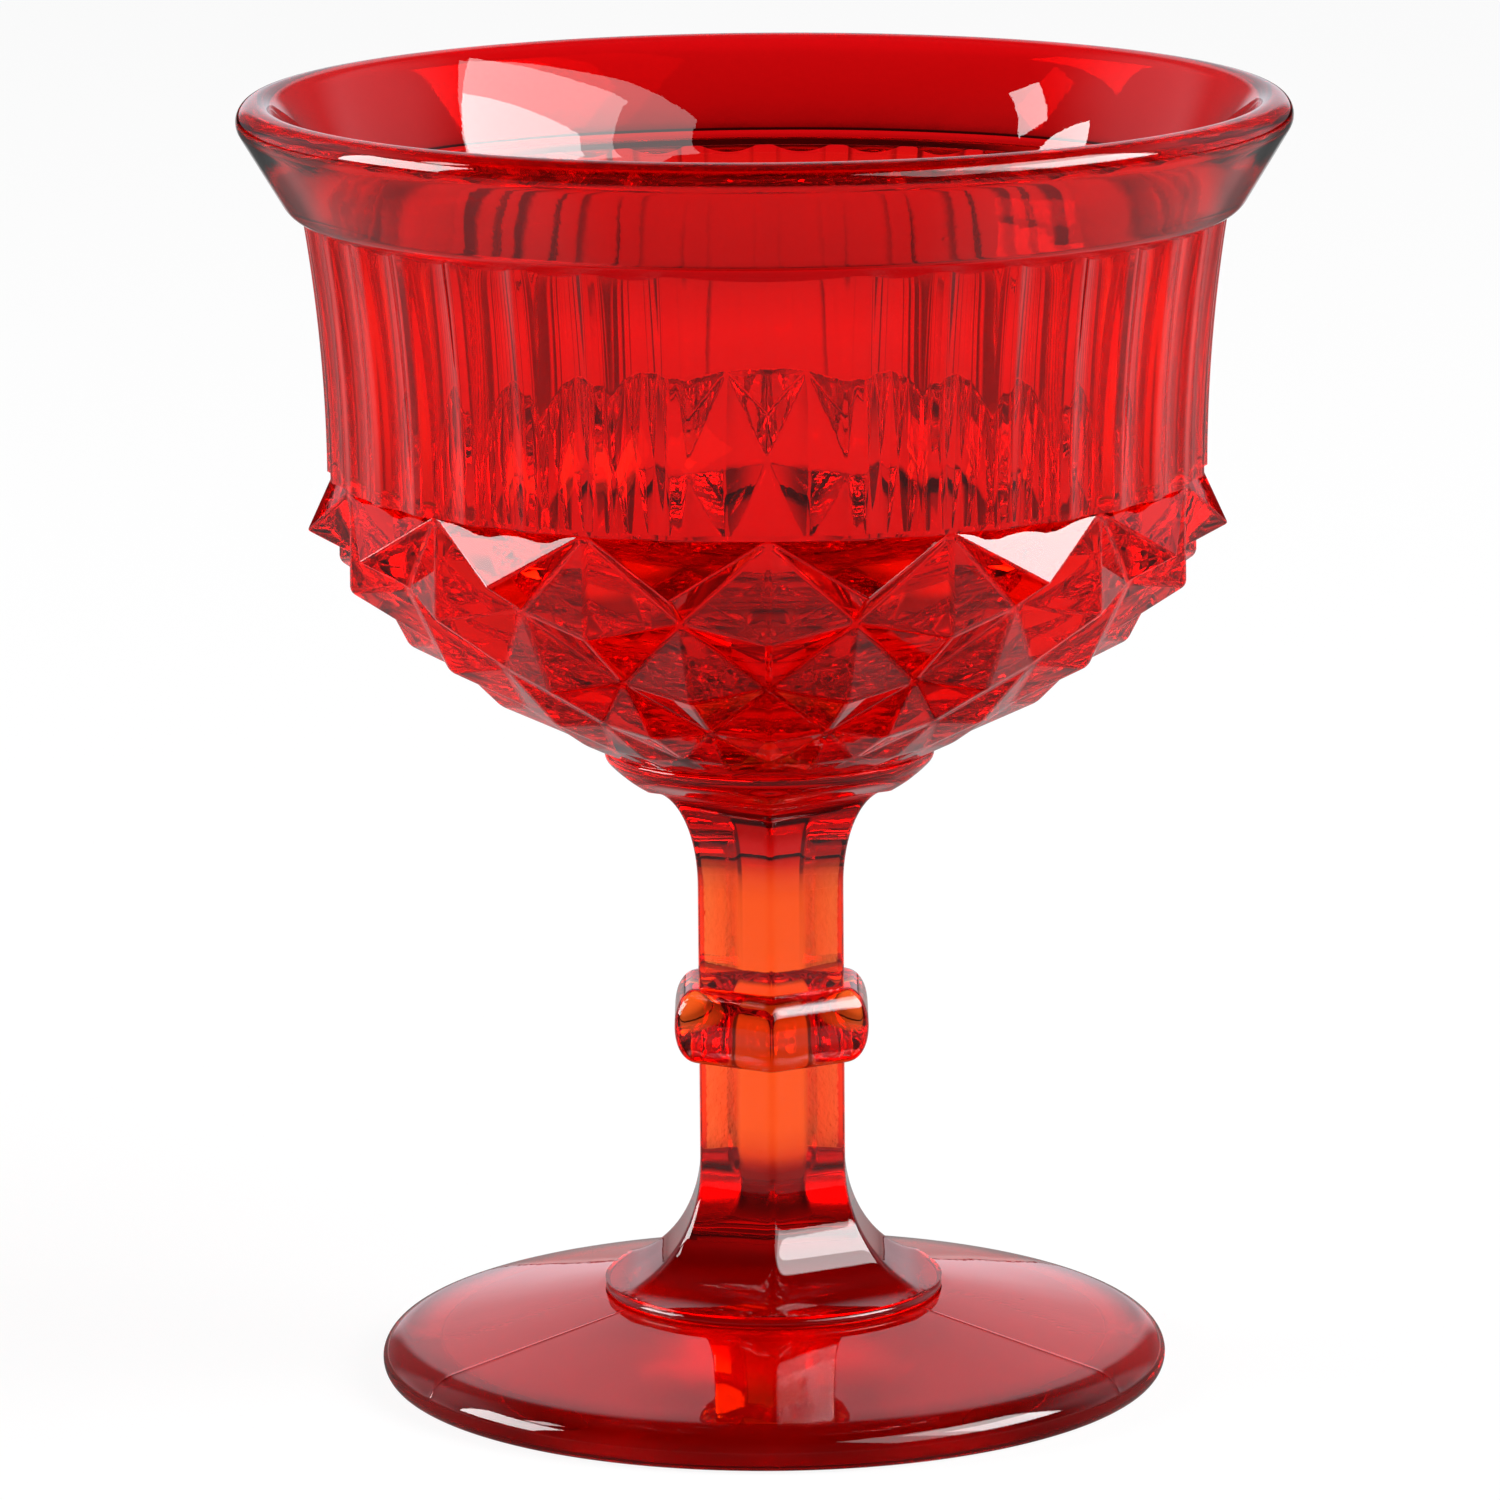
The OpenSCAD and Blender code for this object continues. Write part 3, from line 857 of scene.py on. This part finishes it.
    def execute(self, context):
        sizes = context.scene.sherbet_sizes
        shape, inside = DiamondLattice(sizes), BowlInside(sizes)
        bowl = self.lattice(sizes, shape)
        combined(bowl, self.flute_ends(sizes, shape), "UNION")
        with editing(bowl):
            bpy.ops.mesh.select_all(action="SELECT")
            bpy.ops.mesh.bisect(
                plane_co=(0, 0, shape.top_z), plane_no=(0, 0, 1), use_fill=True, clear_outer=True)
        above = shape.top_z + self.hollow_above
        hollow = inside.floor(28) + [(inside.foot[0], above), (0, above)]
        combined(bowl, turned("bowl_hollow", hollow, HOLLOW_COLUMNS), "DIFFERENCE")
        merge_and_face_out(bowl)
        mark_joints(bowl, shape.top_z, shape.foot_z)
        finished(bowl, "diamond_bowl", "deep_ruby_glass", smooth_angle=28, flat_facets=True)
        return {"FINISHED"}


class MESH_OT_collar(bpy.types.Operator):
    """Makes the collar under the bowl, round at its edge and drawn in to the six sides of the stem"""

    bl_idname = "mesh.sherbet_collar"
    bl_label = "Collar"

    # Shares of the upright edge and of the slope under it that the rounding between them takes up
    rounded_above = 0.8
    rounded_below = 0.45

    def execute(self, context):
        sizes = context.scene.sherbet_sizes
        low, high, radius = foot_of("collar"), top_of("collar"), half_width("collar")
        bead = sizes.collar_bead
        edge = Vector((radius, high - sizes.collar_edge))
        foot = Vector((half_width("upper_flare"), low))
        start = edge.lerp(Vector((radius, high - bead)), self.rounded_above)
        end = edge.lerp(foot, self.rounded_below)
        outline = [(0, high)] + arc((radius - bead, high - bead), bead, 90, 0, 4)
        outline += rounded_corner(start, edge, end, 8)
        outline += straight(end, foot, 6) + [(0, low)]
        collar = turned("collar_glass", outline, STEM_COLUMNS)

        def draw_in(angle, r, z):
            share = np.clip((edge.y - z) / (edge.y - low), 0, 1)
            return angle, r * (1 + share * (six_sided(angle) - 1)), z

        pressed(collar, draw_in)
        mark_joints(collar, low, high)
        finished(collar, "collar", "deep_ruby_glass")
        return {"FINISHED"}


class MESH_OT_stem(bpy.types.Operator):
    """Makes the six-sided stem: the upper flare, the two shafts and the knop between them"""

    bl_idname = "mesh.sherbet_stem"
    bl_label = "Stem"

    # A knop of power 2 would be an ellipse, and a larger power makes it squarer
    knop_power = 2.1

    def swell(self, stem, steps):
        """Outline of the knop, from its foot to its top"""
        low, high, knop = foot_of("knop"), top_of("knop"), half_width("knop")
        outline = []
        for i in range(steps + 1):
            s = -math.cos(math.pi * i / steps)
            out = (1 - abs(s) ** self.knop_power) ** (1 / self.knop_power)
            outline.append((stem + (knop - stem) * out, low + (high - low) * (1 + s) / 2))
        return outline

    def execute(self, context):
        stem = half_width("upper_stem")
        sides = {
            "upper_flare": flaring(
                stem, half_width("upper_flare"), foot_of("upper_flare"), top_of("upper_flare"), 24),
            "upper_stem": [(stem, z) for z in rows(foot_of("upper_stem"), top_of("upper_stem"), 6)],
            "knop": self.swell(stem, 32),
            "lower_stem": [(stem, z) for z in rows(foot_of("lower_stem"), top_of("lower_stem"), 6)],
        }
        for node, side in sides.items():
            low, high = side[0][1], side[-1][1]
            piece = turned(node + "_glass", [(0, low), *side, (0, high)], STEM_COLUMNS)
            pressed(piece, hexagon)
            mark_joints(piece, low, high)
            finished(piece, node, "deep_ruby_glass" if node == "upper_flare" else "amber_glass")
        return {"FINISHED"}


class MESH_OT_foot_flare(bpy.types.Operator):
    """Makes the six-sided flare at the bottom of the stem, which runs out into a round lip"""

    bl_idname = "mesh.sherbet_foot_flare"
    bl_label = "Lower Flare"

    # Degrees above and below level that the bead of the lip turns through
    bead_turn = 60

    def execute(self, context):
        sizes = context.scene.sherbet_sizes
        stem, lip = half_width("lower_stem"), half_width("foot_flare")
        low, high = foot_of("foot_flare"), top_of("foot_flare")
        lip_top, bead = low + sizes.lip_height, sizes.lip_bead
        side = flaring(stem, lip, high, lip_top, 30)
        side += arc((lip - bead, low + bead), bead, self.bead_turn, -self.bead_turn, 8)
        piece = turned("foot_flare_glass", [(0, high), *side, (lip - bead, low), (0, low)], STEM_COLUMNS)

        def flare(angle, radius, z):
            wide = np.where(z > lip_top - TOUCHING, radius * six_sided(angle), radius)
            return angle, np.minimum(wide, lip), z

        pressed(piece, flare)
        mark_joints(piece, low, high)
        finished(piece, "foot_flare", "deep_ruby_glass")
        return {"FINISHED"}


class MESH_OT_foot(bpy.types.Operator):
    """Makes the round foot, with the three seams of the mould across it and a shallow hollow under it"""

    bl_idname = "mesh.sherbet_foot"
    bl_label = "Foot"

    # Width of the rounding under the widest line, as a share of the height of that line
    lower_width = 0.8
    # Degrees from a seam of the columns of points beside it, before and after they are drawn in to the seam,
    # and the share of its height that the seam has at the first of them
    even_columns = (0, 1, 2, 3, 5, 180)
    seam_columns = (0, 0.16, 0.34, 1.2, 5, 180)
    seam_profile = (1, 0.6, 0, 0, 0, 0)

    def outline(self, sizes, radius, high, lip):
        wide, tall, belt = sizes.foot_edge_width, sizes.foot_edge, sizes.foot_belt
        under = self.lower_width * belt
        to_lip = Vector(((lip - radius + wide) / wide, (high - belt) / tall))
        turn = math.degrees(math.atan2(to_lip.y, to_lip.x) - math.acos(1 / to_lip.length))
        rim = [(radius - under + under * c, belt + belt * s) for c, s in arc((0, 0), 1, -90, 0, 12)]
        rim += [(radius - wide + wide * c, belt + tall * s) for c, s in arc((0, 0), 1, 0, turn, 24)[1:]]
        shares = [i / 14 for i in range(15)]
        hollow = [(sizes.hollow_radius * s, sizes.hollow_depth * (1 - s * s)) for s in shares]
        return hollow + rim + straight(Vector(rim[-1]), Vector((lip, high)), 16) + [(0, high)]

    def execute(self, context):
        sizes = context.scene.sherbet_sizes
        radius, high, lip = half_width("foot"), top_of("foot"), half_width("foot_flare")
        foot = turned("foot_glass", self.outline(sizes, radius, high, lip), ROUND_COLUMNS)
        seams = [math.tau / MOULD_PARTS * (i + 0.5) for i in range(MOULD_PARTS)]

        def seam(angle, r, z):
            off = np.stack([(angle - s + math.pi) % math.tau - math.pi for s in seams])
            degrees = np.degrees(np.take_along_axis(off, np.abs(off).argmin(0)[None], 0)[0])
            near = np.interp(np.abs(degrees), self.even_columns, self.seam_columns)
            angle = angle + np.radians(np.sign(degrees) * near - degrees)
            ridge = sizes.seam_height * np.interp(near, self.seam_columns, self.seam_profile)
            ridge = np.where((z > sizes.foot_belt) & (r > lip + TOUCHING), ridge, 0)
            out = np.clip((r - radius + sizes.foot_edge_width) / sizes.foot_edge_width, 0, 1)
            return angle, r + ridge * out, z + ridge * np.sqrt(1 - out * out)

        pressed(foot, seam)
        mark_joints(foot, high)
        finished(foot, "foot", "ruby_glass")
        return {"FINISHED"}


class SCENE_OT_stage(bpy.types.Operator):
    """Makes the pale floor, the lamps, the bright surroundings and the camera"""

    bl_idname = "scene.sherbet_stage"
    bl_label = "Stage"

    floor_radius = 8.0
    floor_middle = 1.5
    floor_drop = 0.03 * MM
    # The middle of the glass, which the lamps face
    aim = Vector((0, 0, 0.06))

    def floor(self, colours):
        clear_selection()
        bpy.ops.mesh.primitive_circle_add(
            vertices=96, radius=self.floor_radius, fill_type="NGON", location=(0, 0, -self.floor_drop))
        floor = bpy.context.object
        floor.name = floor.data.name = "floor"
        bpy.ops.object.transform_apply(location=True)
        with editing(floor):
            bpy.ops.mesh.select_all(action="SELECT")
            bpy.ops.mesh.inset(thickness=self.floor_radius - self.floor_middle)
        floor.data.materials.append(floor_material(colours))
        clear_selection()

    def surroundings(self, colours):
        world = bpy.data.worlds.new("studio")
        bpy.context.scene.world = world
        world.use_nodes = True
        shader = Shader(world.node_tree)
        path = shader.node("ShaderNodeLightPath")
        way = shader.split(shader.node("ShaderNodeTexCoord")["Generated"])
        # A little dimmer above the horizon, and dark overhead
        fall = shader.ramp(way["Z"], 0.04, 0.24, 1.0, 0.72) - shader.ramp(way["Z"], 0.55, 0.80, 0.0, 0.67)
        level = studio_level(shader, path, way, far=1, fall=fall, sides=0.52, front=0.93)
        light = shader.node("ShaderNodeBackground", inputs={
            "Color": shader.scaled(tuple(colours.studio), level)})["Background"]
        shader.node("ShaderNodeOutputWorld", inputs={"Surface": light})

    def softbox(self, name, turn, height, distance, wide, tall, radiance):
        """Hangs a lamp by its angles from the front and above the table, its distance in metres, and how wide
        and tall it looks from the glass. The angles are in degrees."""
        turn, height = math.radians(turn), math.radians(height)
        wide, tall = (math.tan(math.radians(a) / 2) * 2 * distance for a in (wide, tall))
        way = Vector((
            math.cos(height) * math.sin(turn), -math.cos(height) * math.cos(turn), math.sin(height)))
        clear_selection()
        bpy.ops.object.light_add(type="AREA", location=self.aim + distance * way)
        lamp = bpy.context.object
        lamp.name = lamp.data.name = name
        lamp.data.shape = "RECTANGLE"
        lamp.data.size, lamp.data.size_y = wide * math.cos(height), tall
        lamp.data.energy = radiance * math.pi * wide * math.cos(height) * tall
        lamp.rotation_euler = (-way).to_track_quat("-Z", "Y").to_euler()
        clear_selection()

    def camera(self):
        clear_selection()
        bpy.ops.object.camera_add(location=CAMERA_PLACE)
        camera = bpy.context.object
        camera.name = camera.data.name = "camera"
        tilt = Matrix.Rotation(math.radians(90 - CAMERA_DOWN), 4, "X")
        roll = Matrix.Rotation(math.radians(CAMERA_ROLL), 4, "Z")
        camera.matrix_world = Matrix.Translation(CAMERA_PLACE) @ tilt @ roll
        camera.data.sensor_width = SENSOR_WIDTH
        camera.data.lens = SENSOR_WIDTH * PHOTO_FOCAL_LENGTH / PHOTO_WIDTH
        camera.data.shift_x = CAMERA_SHIFT
        camera.data.clip_start, camera.data.clip_end = 0.01, 50
        bpy.context.scene.camera = camera
        clear_selection()

    def execute(self, context):
        scene = context.scene
        self.floor(scene.sherbet_colours)
        self.surroundings(scene.sherbet_colours)
        # The three on the right hang one before the other, so that their light grows towards the middle
        self.softbox("right_softbox", turn=64, height=40, distance=1.55, wide=68, tall=33, radiance=3)
        self.softbox("right_inner", turn=75, height=38, distance=1.5, wide=46, tall=32, radiance=5)
        self.softbox("right_core", turn=80, height=32, distance=1.45, wide=35, tall=23, radiance=8)
        self.softbox("left_softbox", turn=-88, height=20, distance=1.5, wide=32, tall=28, radiance=13)
        self.softbox("left_inner", turn=-87, height=41.5, distance=1.5, wide=10, tall=9, radiance=9)
        self.camera()
        scene.view_settings.view_transform = "Standard"
        scene.cycles.max_bounces = 28
        scene.cycles.transmission_bounces = 24
        scene.cycles.glossy_bounces = 12
        scene.cycles.transparent_max_bounces = 32
        scene.cycles.use_denoising = True
        return {"FINISHED"}


class VIEW3D_PT_sherbet_glass(bpy.types.Panel):
    """Lists the sizes, the colours and the pieces of the glass"""

    bl_label = "Sherbet Glass"
    bl_idname = "VIEW3D_PT_sherbet_glass"
    bl_space_type = "VIEW_3D"
    bl_region_type = "UI"
    bl_category = "Sherbet Glass"

    def draw(self, context):
        for group in (context.scene.sherbet_sizes, context.scene.sherbet_colours):
            column = self.layout.column()
            for name in group.__annotations__:
                column.prop(group, name)
        for step in STEPS:
            self.layout.operator(step.bl_idname)


STEPS = (MESH_OT_rim_band, MESH_OT_fluted_wall, MESH_OT_diamond_bowl, MESH_OT_collar, MESH_OT_stem,
         MESH_OT_foot_flare, MESH_OT_foot, SCENE_OT_stage)
CLASSES = (GlassSizes, GlassColours, *STEPS, VIEW3D_PT_sherbet_glass)


def register():
    for cls in CLASSES:
        bpy.utils.register_class(cls)
    bpy.types.Scene.sherbet_sizes = bpy.props.PointerProperty(type=GlassSizes)
    bpy.types.Scene.sherbet_colours = bpy.props.PointerProperty(type=GlassColours)


def unregister():
    del bpy.types.Scene.sherbet_colours
    del bpy.types.Scene.sherbet_sizes
    for cls in reversed(CLASSES):
        bpy.utils.unregister_class(cls)


def main():
    register()
    bpy.ops.mesh.sherbet_rim_band()
    bpy.ops.mesh.sherbet_fluted_wall()
    bpy.ops.mesh.sherbet_diamond_bowl()
    bpy.ops.mesh.sherbet_collar()
    bpy.ops.mesh.sherbet_stem()
    bpy.ops.mesh.sherbet_foot_flare()
    bpy.ops.mesh.sherbet_foot()
    bpy.ops.scene.sherbet_stage()
    bpy.context.view_layer.update()


if __name__ == "__main__":
    main()
